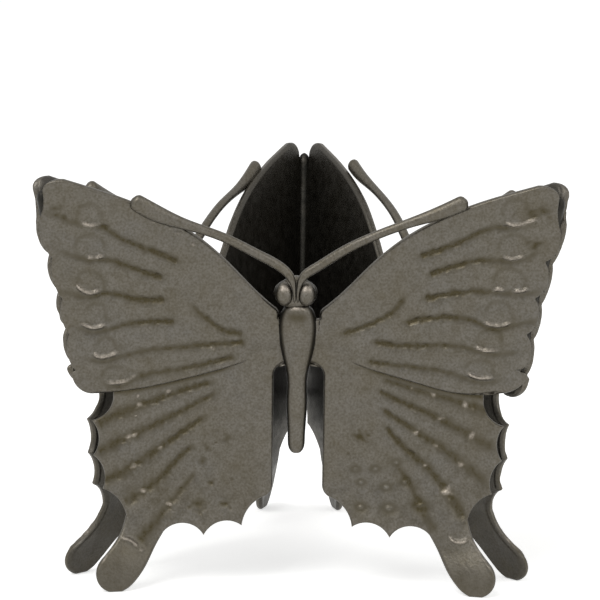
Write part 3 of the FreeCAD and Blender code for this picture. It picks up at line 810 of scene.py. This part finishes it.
def forewing_surface(sizes, net, mirror):
    """Outer and inner offsets, darkened hollows with patina and painted shade, painted highlights and
    lean of a forewing: the plate's face with veins and eye marks, rounded to the outline and run down
    flush onto the hindwing near the body, and an inner face that stays on its side of the plane
    between two butterflies and lies on the hindwing."""
    u, z = net[0].T
    gap = path_distance(u, z, net[3])[0]
    trailing_gap = path_distance(u, z, natural_curve(TRAILING_EDGE, 60))[0]
    by_body = ramp(u, *FLUSH_REACHES)
    on_lap = ramp(trailing_gap - LAP_WIDTH, *LAP_STEP) * ramp(u, *LAP_END_REACHES) * (1 - by_body)
    base = FOREWING_OUTLINE + LAP_RISE * on_lap
    rounding = edge_round(gap, sizes.edge_radius / MM)
    veins = vein_relief(u, z, FOREWING_VEINS[mirror], FOREWING_VEIN_WIDTHS[mirror],
                        SEEDS["forewing veins"] + mirror)
    lips = stroke_relief(u, z, LIPS[mirror], LIP_WIDTH, SEEDS["lips"] + mirror)
    arches = stroke_relief(u, z, ARCHES[mirror], ARCH_WIDTH, SEEDS["arches"] + mirror)
    spots = spot_relief(u, z, FOREWING_SPOTS[mirror], SEEDS["forewing spots"] + mirror)
    face = FOREWING_FACE - veins + LIP_HEIGHT * lips - ARCH_DEPTH * arches + spots
    face = face + cast_unevenness(u, z, SEEDS["forewing"] + mirror)
    face = face - (FOREWING_FACE - HINDWING_FACE + FLUSH_SINK) * ramp(trailing_gap, *FLUSH_WIDTHS) * by_body
    outer = base + (face - base) * rounding
    inner = base + (-FOREWING_FACE - base) * rounding
    inner = np.maximum(inner, np.minimum(mitre_offset(u, z), base))
    inner = inner + (np.maximum(inner, HINDWING_FACE + LAP_CLEARANCE) - inner) * on_lap
    inner = np.minimum(inner, outer - LAP_CLEARANCE * (gap > 0))
    # Darkening of the hollows by patina and painted shade, and painted highlights on lips and bumps
    hollows = veins / VEIN_DARK_DEPTH - np.minimum(spots, 0) / PIT_DARK_DEPTH
    hollow_and_shade = np.clip(hollows + ARCH_SHADE * arches - LIP_CLEARS * lips, 0, 1)
    painted_highlight = np.clip(LIP_HIGHLIGHT * lips + spots / BUMP_HIGHLIGHT_HEIGHTS[0], 0, 1) ** 2
    margin_gap = np.minimum(mitre_reach(z, -MITRE_INSET), TIP_SIDE[0]) - u
    near_margin = ramp(margin_gap, *LEAN_WIDTHS) * ramp(z, *LEAN_HEIGHTS)
    lean = MARGIN_LEAN * near_margin * np.maximum(outer - base, 0)
    return outer, inner, hollow_and_shade, painted_highlight, lean


def hindwing_surface(sizes, net, mirror):
    """The same for a hindwing, which is plain where the forewing covers it, has a painted shadow along
    that edge, and doesn't lean."""
    u, z = net[0].T
    middle = (HINDWING_FACE + HINDWING_BACK) / 2
    rounding = edge_round(path_distance(u, z, net[3])[0], sizes.edge_radius / MM)
    veins = vein_relief(u, z, HINDWING_VEINS[mirror], HINDWING_VEIN_WIDTHS[mirror],
                        SEEDS["hindwing veins"] + mirror)
    spots = spot_relief(u, z, HINDWING_SPOTS[mirror], SEEDS["hindwing spots"] + mirror)
    spots = spots + dot_relief(u, z, HINDWING_DOTS[mirror])
    for ridge, rise in TAIL_RIDGES[mirror]:
        spots = spots + rise * stroke_relief(u, z, [ridge], LIP_WIDTH, SEEDS["tail ridges"] + mirror)
    lap_gap = path_distance(u, z, natural_curve(TRAILING_EDGE, 60))[0]
    above = z > np.interp(u, *np.array(TRAILING_EDGE)[::-1].T)
    shown = np.where(above, 0.0, ramp(lap_gap, *SHOWN_DISTANCES))
    uneven = cast_unevenness(u, z, SEEDS["hindwing"] + mirror)
    face = HINDWING_FACE + (spots - veins + uneven) * shown
    outer = middle + (face - middle) * rounding
    inner = middle + (HINDWING_BACK - middle) * rounding
    # Painted shadow under the forewing's trailing edge
    lap_shadow = LAP_SHADOW_STRENGTH * bell(lap_gap, LAP_SHADOW_WIDTH) * ramp(u, *LAP_SHADOW_REACHES)
    hollows = veins / VEIN_DARK_DEPTH - np.minimum(spots, 0) / PIT_DARK_DEPTH
    hollow_and_shade = np.clip(hollows * shown + lap_shadow, 0, 1)
    hollow_and_shade = hollow_and_shade + (1 - hollow_and_shade) * TAIL_SHADE * ramp(z, *TAIL_SHADE_HEIGHTS)
    # Painted highlights on the hindwing's bumps
    painted_highlight = HINDWING_HIGHLIGHT * np.clip(spots * shown / BUMP_HIGHLIGHT_HEIGHTS[1], 0, 1) ** 2
    return outer, inner, hollow_and_shade, painted_highlight, 0.0


# Points round a tube, and where its sides and its open part are, by the cosine of the way round
TUBE_POINTS = 48
TUBE_SIDES = (0.70, 0.90)
TUBE_OPEN = (0.8, 0.3)


def add_tube(name, centres, across, over, number, node, slot, material, mirror=False, shade=0.0, inner_and_side_shade=0.0,
             hollow=0.0, painted_highlight=0.0):
    """Closed tube of ovals: each ring is its centre plus the cosine of the way round times one half
    axis and the sine times the other, with a pole at each end. Its sides can take painted shade, as
    where it meets its neighbours, and the open part between them be darkened or take a painted
    highlight by each ring's share."""
    angle = np.linspace(0, math.tau, TUBE_POINTS, endpoint=False)
    cosine, sine = np.cos(angle)[None, :, None], np.sin(angle)[None, :, None]
    rings = centres[:, None] + cosine * across[:, None] + sine * over[:, None]
    points = np.concatenate([rings.reshape(-1, 3), centres[:1], centres[-1:]])
    quads, ends = tube_faces(len(centres), TUBE_POINTS)
    if mirror:
        points = points * [-1, 1, 1]
        quads, ends = quads[:, ::-1], ends[:, ::-1]
    piece = new_piece(name, turned(points, number), quads, node, material, ends)
    # Painted shade on the tube's sides
    sides = shade * ramp(np.abs(np.cos(angle)), *TUBE_SIDES)
    open_part = ramp(np.abs(np.cos(angle)), *TUBE_OPEN)
    fields = {
        "hollow_and_shade": sides + np.outer(hollow, open_part),
        "painted_highlight": np.outer(painted_highlight, open_part),
        "inner_and_side_shade": sides + inner_and_side_shade,
    }
    for attribute, field in fields.items():
        field = np.clip(np.broadcast_to(field, rings.shape[:2]), 0, 1)
        store(piece, attribute, np.concatenate([field.ravel(), field[0, :1], field[-1, :1]]))
    return piece


# Body, from the end of the abdomen to the neck: height, half width, half depth
BODY_RINGS = 120
BODY_SIDE = -0.2
BODY_FORWARD = 0.25
BODY_SECTIONS = [
    (17.25, 0.05, 0.05), (17.3, 0.45, 0.40), (17.8, 0.90, 0.75), (19.2, 1.10, 0.95), (21.6, 1.22, 1.10),
    (24.4, 1.32, 1.20), (27.0, 1.30, 1.25), (29.2, 1.75, 1.45), (31.2, 2.20, 1.65), (33.4, 2.45, 1.70),
    (35.2, 2.20, 1.55), (36.2, 1.60, 1.25), (36.6, 0.70, 0.60), (36.65, 0.05, 0.05),
]

# A dark fold under the collar, and a painted highlight on the collar's rim: height, width and share
NECK_FOLD = (35.0, 0.6, 0.7)
COLLAR_HIGHLIGHT = (36.1, 0.2, 0.8)

# Head, from the neck to the crown in the same way, its eyes' place and half sizes, and the painted
# highlight above an eye's middle: rise, width and share
HEAD_RINGS = 60
HEAD_SIDE = -0.5
HEAD_FORWARD = 0.2
HEAD_SECTIONS = [
    (35.9, 0.05, 0.05), (35.95, 0.90, 0.70), (36.4, 1.80, 1.20), (37.2, 2.55, 1.45), (38.1, 2.75, 1.50),
    (39.0, 2.35, 1.30), (39.6, 1.50, 1.05), (40.1, 0.70, 0.70), (40.15, 0.05, 0.05),
]
EYE_PLACE = (1.38, 37.95)
EYE_HALF = (1.18, 1.25, 1.55)
EYE_FORWARD = 1.05
EYE_HIGHLIGHT = (0.75, 0.4, 0.8)

# Braze of a corner: a seam along its inside, and a bead on the outside of each scallop
SEAM_RADIUS = 0.85
SEAM_END_RADIUS = 0.5
SEAM_INSET = 0.95
SEAM_TAPER = 1.2
SEAM_RINGS = 120
BEAD_HALF = (0.45, 0.45, 1.5)
BEAD_OUTSET = 0.05

# Antennae, right and left: reach, height, distance of the centre line in front of the forewing's
# face, half height and half depth
ANTENNAE = [[
    (-0.2, 36.9, 1.0, 0.20, 0.3), (-0.15, 38.6, 1.2, 0.24, 0.35), (0.35, 40.1, 1.05, 0.50, 0.50),
    (2.0, 41.4, 0.85, 0.60, 0.60), (5.0, 43.4, 0.90, 0.60, 0.60), (9.5, 45.75, 0.90, 0.56, 0.56),
    (14.5, 47.7, 0.65, 0.66, 0.60), (18.0, 49.0, 0.45, 0.92, 0.75), (20.6, 50.25, 0.35, 1.00, 0.80),
], [
    (0.64, 36.9, 1.0, 0.20, 0.3), (0.69, 38.6, 1.2, 0.24, 0.35), (1.1, 40.1, 1.05, 0.50, 0.50),
    (2.0, 41.1, 0.80, 0.60, 0.60), (5.0, 42.9, 0.75, 0.60, 0.60), (9.5, 45.15, 0.65, 0.58, 0.58),
    (14.5, 46.85, 0.50, 0.72, 0.60), (18.0, 48.2, 0.40, 1.08, 0.75), (20.9, 49.85, 0.35, 1.05, 0.80),
]]
ANTENNA_RINGS = 110
BLUNT_RINGS = 3.5


def antenna_rings(route):
    """Centres and half axes of an antenna's ovals: square to a smooth curve over the forewing, with
    the height lying in the wing's plane, and blunt at the ends."""
    count = ANTENNA_RINGS
    rows = natural_curve(route, count)
    centres = sheet_point(rows[:, 0], rows[:, 1], FOREWING_FACE + rows[:, 2])
    direction = np.gradient(centres, axis=0)
    direction /= np.linalg.norm(direction, axis=1)[:, None]
    upright = np.cross(direction, [0, -1, 0])
    upright /= np.linalg.norm(upright, axis=1)[:, None]
    outward = np.cross(upright, direction)
    from_end = np.minimum(np.arange(count), np.arange(count)[::-1])
    blunt = np.sqrt(1 - (1 - np.clip(from_end / BLUNT_RINGS, 0.02, 1)) ** 2)
    return centres, -upright * (rows[:, 3] * blunt)[:, None], outward * (rows[:, 4] * blunt)[:, None]


def belt(height, place):
    """Share of a belt at each height: a bell about the place's own height."""
    middle, width, most = place
    return most * bell(height - middle, width)


def ball(centre, half):
    """Centres and half axes of the level rings of an upright ellipsoid."""
    latitude = np.linspace(-math.pi / 2 + 0.02, math.pi / 2 - 0.02, 24)
    centres = centre + np.outer(np.sin(latitude), [0, 0, half[2]])
    return centres, np.outer(np.cos(latitude), [half[0], 0, 0]), np.outer(np.cos(latitude), [0, half[1], 0])


def spindle(sections, forward, side, count):
    """Centres and half axes of level ovals that follow the sheet, by a smooth curve through the
    sections."""
    z, wide, deep = natural_curve(sections, count).T
    out = bend_out(z, 0.0) + forward
    zero = np.zeros_like(z)
    centres = np.stack([zero + side, AXIS_Y - out, z], axis=1)
    across = np.stack([np.maximum(wide, 0.02), zero, zero], axis=1)
    over = np.stack([zero, np.maximum(deep, 0.02), zero], axis=1)
    return centres, across, over


def corner_place(height, outset):
    """Point of the corner at the right hand end of the front butterfly, outset from its crests."""
    reach = mitre_reach(height, -MITRE_INSET)
    outward = np.stack([reach * 0 + CORNER_SLOPE / 2, reach * 0 - 0.5, reach * 0], axis=-1)
    crest = np.stack([reach, AXIS_Y - reach / CORNER_SLOPE, reach * 0 + height], axis=-1)
    return crest + np.asarray(outset)[..., None] * outward


def braze_seam():
    """Centres and half axes of the level rings of a corner's seam. Near the top, where the wings
    part, it draws in by half of what each tip falls short of the corner."""
    height = np.linspace(CORNER_TOP, TIP_SIDE[1], SEAM_RINGS)
    inset = SEAM_INSET + np.maximum(0, mitre_reach(height, -MITRE_INSET) - TIP_REACH) / 2
    centres = corner_place(height, -inset)
    end = np.minimum(height - height[0], height[-1] - height)
    radius = SEAM_END_RADIUS + (SEAM_RADIUS - SEAM_END_RADIUS) * ramp(end, 0, SEAM_TAPER)
    radius = radius * edge_round(end + 0.01, SEAM_END_RADIUS)
    zero = radius * 0
    return centres, np.stack([radius, zero, zero], axis=1), np.stack([zero, radius, zero], axis=1)


def length(name, description, default):
    """Property for a small length, which is kept in metres."""
    return FloatProperty(name=name, description=description, default=default, unit="LENGTH", precision=6)


def fraction(name, description, default):
    """Property for a share from 0 to 1."""
    return FloatProperty(name=name, description=description, default=default, min=0, max=1, subtype="FACTOR")


def patina(name, description, code):
    """Property for a colour, with the default as an sRGB hex value."""
    return FloatVectorProperty(name=name, description=description, default=colour(code)[:3], subtype="COLOR")


class LidRestSizes(bpy.types.PropertyGroup):
    """Sizes and colours that a user would change"""
    wing_columns: IntProperty(name="Wing columns", description="Grid lines along a wing", default=180)
    wing_rows: IntProperty(name="Wing rows", description="Grid lines across a wing", default=140)
    edge_radius: length("Edge radius", "Rounding of the plates' edges", 0.00038)
    patch_size: length("Patch size", "Width of a patch of the patina", 0.005)
    mottle_size: length("Mottle size", "Width of a mottle of the patina", 0.0012)
    grain_size: length("Grain size", "Width of a grain of the casting skin", 0.00028)
    grain_height: length("Grain height", "Height of a grain of the casting skin", 0.00003)
    face_colour: patina("Face", "Patina of the open faces", "#615e59")
    patch_colour: patina("Patches", "Browner patches of the patina", "#585245")
    worn_colour: patina("Worn", "Lighter mottles where it is handled", "#726e67")
    # Colour of the painted highlights on ridges, bumps, the collar's rim and the eyes
    highlight_colour: patina("Rubbed", "Ridges and bumps that are rubbed bright", "#978f85")
    # Colour of the hollows, for patina there and painted shade, and of the painted shade on the body's sides
    # and along the lap
    hollow_and_shade_colour: patina("Hollows", "Patina in grooves", "#423c2c")
    # Colour of the darker inner faces and braze seams, and of the painted shade on the tube sides
    inner_and_shade_colour: patina("Inside", "Patina of the inner faces", "#2a2926")
    gloss_low: fraction("Smoothest", "Least roughness of the skin", 0.36)
    gloss_high: fraction("Roughest", "Most roughness of the skin", 0.52)


class PieceOperator:
    """What the operators share: the sizes, a material by name, and both hands of each butterfly."""

    def material(self, context, name):
        return patinated_bronze(name, context.scene.lid_rest)

    def add_wings(self, context, kind, net, surface, material):
        sizes = context.scene.lid_rest
        for mirror, side in enumerate(SIDES):
            shape = net(sizes, mirror)
            offsets = surface(sizes, shape, mirror)
            for number, butterfly in enumerate(BUTTERFLIES):
                node = "%s_butterfly_%s_%s" % (butterfly, kind, side)
                add_plate(node + "_cast", shape, offsets, mirror, number, node, material)


class LIDREST_OT_forewings(bpy.types.Operator, PieceOperator):
    """Makes the six forewings with their veins and eye marks"""
    bl_idname = "lidrest.forewings"
    bl_label = "Forewings"

    def execute(self, context):
        material = self.material(context, "patinated_bronze_forewing")
        self.add_wings(context, "forewing", forewing_net, forewing_surface, material)
        return {"FINISHED"}


class LIDREST_OT_hindwings(bpy.types.Operator, PieceOperator):
    """Makes the six hindwings with their tails"""
    bl_idname = "lidrest.hindwings"
    bl_label = "Hindwings"

    def execute(self, context):
        material = self.material(context, "patinated_bronze_hindwing")
        self.add_wings(context, "hindwing", hindwing_net, hindwing_surface, material)
        return {"FINISHED"}


class LIDREST_OT_bodies(bpy.types.Operator, PieceOperator):
    """Makes the three bodies and heads"""
    bl_idname = "lidrest.bodies"
    bl_label = "Bodies and heads"

    def execute(self, context):
        material = self.material(context, "patinated_bronze_body")
        for number, butterfly in enumerate(BUTTERFLIES):
            node = butterfly + "_butterfly_body"
            body = spindle(BODY_SECTIONS, BODY_FORWARD, BODY_SIDE, BODY_RINGS)
            height = body[0][:, 2]
            # Painted shade on the body's sides, a dark fold under the collar and a painted highlight on its
            # rim
            add_tube(node + "_cast", *body, number, node, "bronze_body", material, shade=1.0,
                     hollow=belt(height, NECK_FOLD), painted_highlight=belt(height, COLLAR_HIGHLIGHT))
            node = butterfly + "_butterfly_head"
            head = spindle(HEAD_SECTIONS, HEAD_FORWARD, HEAD_SIDE, HEAD_RINGS)
            # Painted shade on the head's sides
            add_tube(node + "_cast", *head, number, node, "bronze_body", material, shade=0.6)
            for hand, side in zip((1, -1), SIDES):
                out = float(bend_out(EYE_PLACE[1], 0.0)) + EYE_FORWARD
                centre = np.array([hand * EYE_PLACE[0] + HEAD_SIDE, AXIS_Y - out, EYE_PLACE[1]])
                eye = ball(centre, EYE_HALF)
                # Painted shade on the eye's sides and a painted highlight above its middle
                bright = belt(eye[0][:, 2] - centre[2], EYE_HIGHLIGHT)
                name = "%s_eye_%s" % (butterfly, side)
                add_tube(name, *eye, number, node, "bronze_body", material, shade=0.8, painted_highlight=bright)
        return {"FINISHED"}


class LIDREST_OT_antennae(bpy.types.Operator, PieceOperator):
    """Makes the six antennae"""
    bl_idname = "lidrest.antennae"
    bl_label = "Antennae"

    def execute(self, context):
        material = self.material(context, "patinated_bronze_antenna")
        for mirror, side in enumerate(SIDES):
            rings = antenna_rings(ANTENNAE[mirror])
            for number, butterfly in enumerate(BUTTERFLIES):
                node = "%s_butterfly_antenna_%s" % (butterfly, side)
                add_tube(node + "_cast", *rings, number, node, "bronze_antenna", material, bool(mirror))
        return {"FINISHED"}


class LIDREST_OT_braze(bpy.types.Operator, PieceOperator):
    """Makes the braze of the three corners"""
    bl_idname = "lidrest.braze"
    bl_label = "Braze"

    def execute(self, context):
        material = self.material(context, "patinated_bronze_braze")
        for number, node in enumerate(CORNERS):
            add_tube(node + "_seam", *braze_seam(), number, node, "braze", material, inner_and_side_shade=1.0)
            for upper, lower in zip(NOTCHES[0], NOTCHES[0][1:]):
                height = (upper + lower) / 2
                rings = ball(corner_place(height, BEAD_OUTSET), BEAD_HALF)
                add_tube("%s_bead_%02d" % (node, height), *rings, number, node, "braze", material)
        return {"FINISHED"}


class LIDREST_OT_stage(bpy.types.Operator):
    """Makes the floor, the lights and the camera"""
    bl_idname = "lidrest.stage"
    bl_label = "Stage"

    def execute(self, context):
        make_floor()
        make_lights()
        make_camera()
        return {"FINISHED"}


# Camera: place in millimetres and focal length, fitted to the photograph
CAMERA_PLACE = (2.5, -358.2, 86.4)
CAMERA_PITCH = math.radians(8.41)
CAMERA_YAW = math.radians(-0.42)
CAMERA_ROLL = math.radians(0.75)
CAMERA_LENS = 161.2


def make_camera():
    """Camera at the photograph's angle: a look down by the pitch, turned by the yaw, then rolled."""
    data = bpy.data.cameras.new("camera")
    data.lens = CAMERA_LENS
    data.clip_start = 0.01
    camera = bpy.data.objects.new("camera", data)
    bpy.context.scene.collection.objects.link(camera)
    forward = Vector((math.sin(CAMERA_YAW) * math.cos(CAMERA_PITCH),
                      math.cos(CAMERA_YAW) * math.cos(CAMERA_PITCH), -math.sin(CAMERA_PITCH)))
    right = Vector((math.cos(CAMERA_YAW), -math.sin(CAMERA_YAW), 0))
    up = right.cross(forward)
    rolled_right = right * math.cos(CAMERA_ROLL) + up * math.sin(CAMERA_ROLL)
    rolled_up = up * math.cos(CAMERA_ROLL) - right * math.sin(CAMERA_ROLL)
    axes = Matrix((rolled_right, rolled_up, -forward)).transposed().to_4x4()
    camera.matrix_world = Matrix.Translation(Vector(CAMERA_PLACE) * MM) @ axes
    bpy.context.scene.camera = camera


WHITE = (1, 1, 1, 1)
FLOOR_HALF = 3.0
FLOOR_GLOW = 0.57
WORLD_STRENGTH = 0.5
LAMP_TARGET = (0, 0, 0.025)

# Lamps: name, place and size in metres, and power in watts
LAMPS = [
    ("key", (-0.35, -0.5, 0.75), 0.5, 4.0),
    ("fill", (0.6, -0.5, 0.5), 0.6, 1.5),
]


def seen_rays(tree):
    """1 for the camera's rays and for those that reflections and clear bodies send on, else 0."""
    path = add_node(tree, "ShaderNodeLightPath").outputs
    seen = calculate(tree, "ADD", path["Is Camera Ray"], path["Is Glossy Ray"])
    return calculate(tree, "ADD", seen, path["Is Transmission Ray"])


def make_floor():
    """Plain pale floor, which the camera and reflections see as white apart from the shadow."""
    material, tree, output = new_material("pale_paper_floor")
    paper = add_node(tree, "ShaderNodeBsdfDiffuse", Color=colour("#f2f2f0")).outputs[0]
    glow = add_node(tree, "ShaderNodeEmission", Color=WHITE, Strength=FLOOR_GLOW).outputs[0]
    both = add_node(tree, "ShaderNodeAddShader", links={0: paper, 1: glow}).outputs[0]
    mixed = add_node(tree, "ShaderNodeMixShader", links={0: seen_rays(tree), 1: paper, 2: both})
    tree.links.new(mixed.outputs[0], output.inputs[0])
    corners = [(x * FLOOR_HALF, y * FLOOR_HALF, 0) for x, y in ((-1, -1), (1, -1), (1, 1), (-1, 1))]
    mesh = bpy.data.meshes.new("floor")
    mesh.from_pydata(corners, [], [(0, 1, 2, 3)])
    mesh.materials.append(material)
    floor = bpy.data.objects.new("floor", mesh)
    bpy.context.scene.collection.objects.link(floor)


def make_lights():
    """White world for the camera and reflections, paler for lighting, and two soft lamps."""
    scene = bpy.context.scene
    world = bpy.data.worlds.new("studio")
    world.use_nodes = True
    tree = world.node_tree
    tree.nodes.clear()
    backdrop = add_node(tree, "ShaderNodeBackground", Color=WHITE, Strength=1.0).outputs[0]
    light = add_node(tree, "ShaderNodeBackground", Color=WHITE, Strength=WORLD_STRENGTH).outputs[0]
    mixed = add_node(tree, "ShaderNodeMixShader", links={0: seen_rays(tree), 1: light, 2: backdrop})
    add_node(tree, "ShaderNodeOutputWorld", links={0: mixed.outputs[0]})
    scene.world = world
    for name, place, size, power in LAMPS:
        data = bpy.data.lights.new(name, "AREA")
        data.size = size
        data.energy = power
        lamp = bpy.data.objects.new(name, data)
        lamp.location = place
        lamp.rotation_euler = (Vector(LAMP_TARGET) - Vector(place)).to_track_quat("-Z", "Y").to_euler()
        scene.collection.objects.link(lamp)


class LIDREST_PT_panel(bpy.types.Panel):
    """Sizes of the lid rest and the steps that make it"""
    bl_idname = "LIDREST_PT_panel"
    bl_label = "Lid Rest"
    bl_space_type = "VIEW_3D"
    bl_region_type = "UI"
    bl_category = "Lid Rest"

    def draw(self, context):
        sizes = context.scene.lid_rest
        for name in LidRestSizes.__annotations__:
            self.layout.prop(sizes, name)
        for operator in OPERATORS:
            self.layout.operator(operator.bl_idname)


OPERATORS = [LIDREST_OT_forewings, LIDREST_OT_hindwings, LIDREST_OT_bodies, LIDREST_OT_antennae,
             LIDREST_OT_braze, LIDREST_OT_stage]
CLASSES = [LidRestSizes] + OPERATORS + [LIDREST_PT_panel]


def register():
    """Registers the classes and hangs the sizes on the scene."""
    for each in CLASSES:
        bpy.utils.register_class(each)
    bpy.types.Scene.lid_rest = PointerProperty(type=LidRestSizes)


def unregister():
    """Takes the sizes and the classes out again."""
    del bpy.types.Scene.lid_rest
    for each in reversed(CLASSES):
        bpy.utils.unregister_class(each)


def main():
    """Registers the add-on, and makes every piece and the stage."""
    register()
    bpy.context.scene.view_settings.view_transform = "Standard"
    bpy.ops.lidrest.forewings()
    bpy.ops.lidrest.hindwings()
    bpy.ops.lidrest.bodies()
    bpy.ops.lidrest.antennae()
    bpy.ops.lidrest.braze()
    bpy.ops.lidrest.stage()


if __name__ == "__main__":
    main()
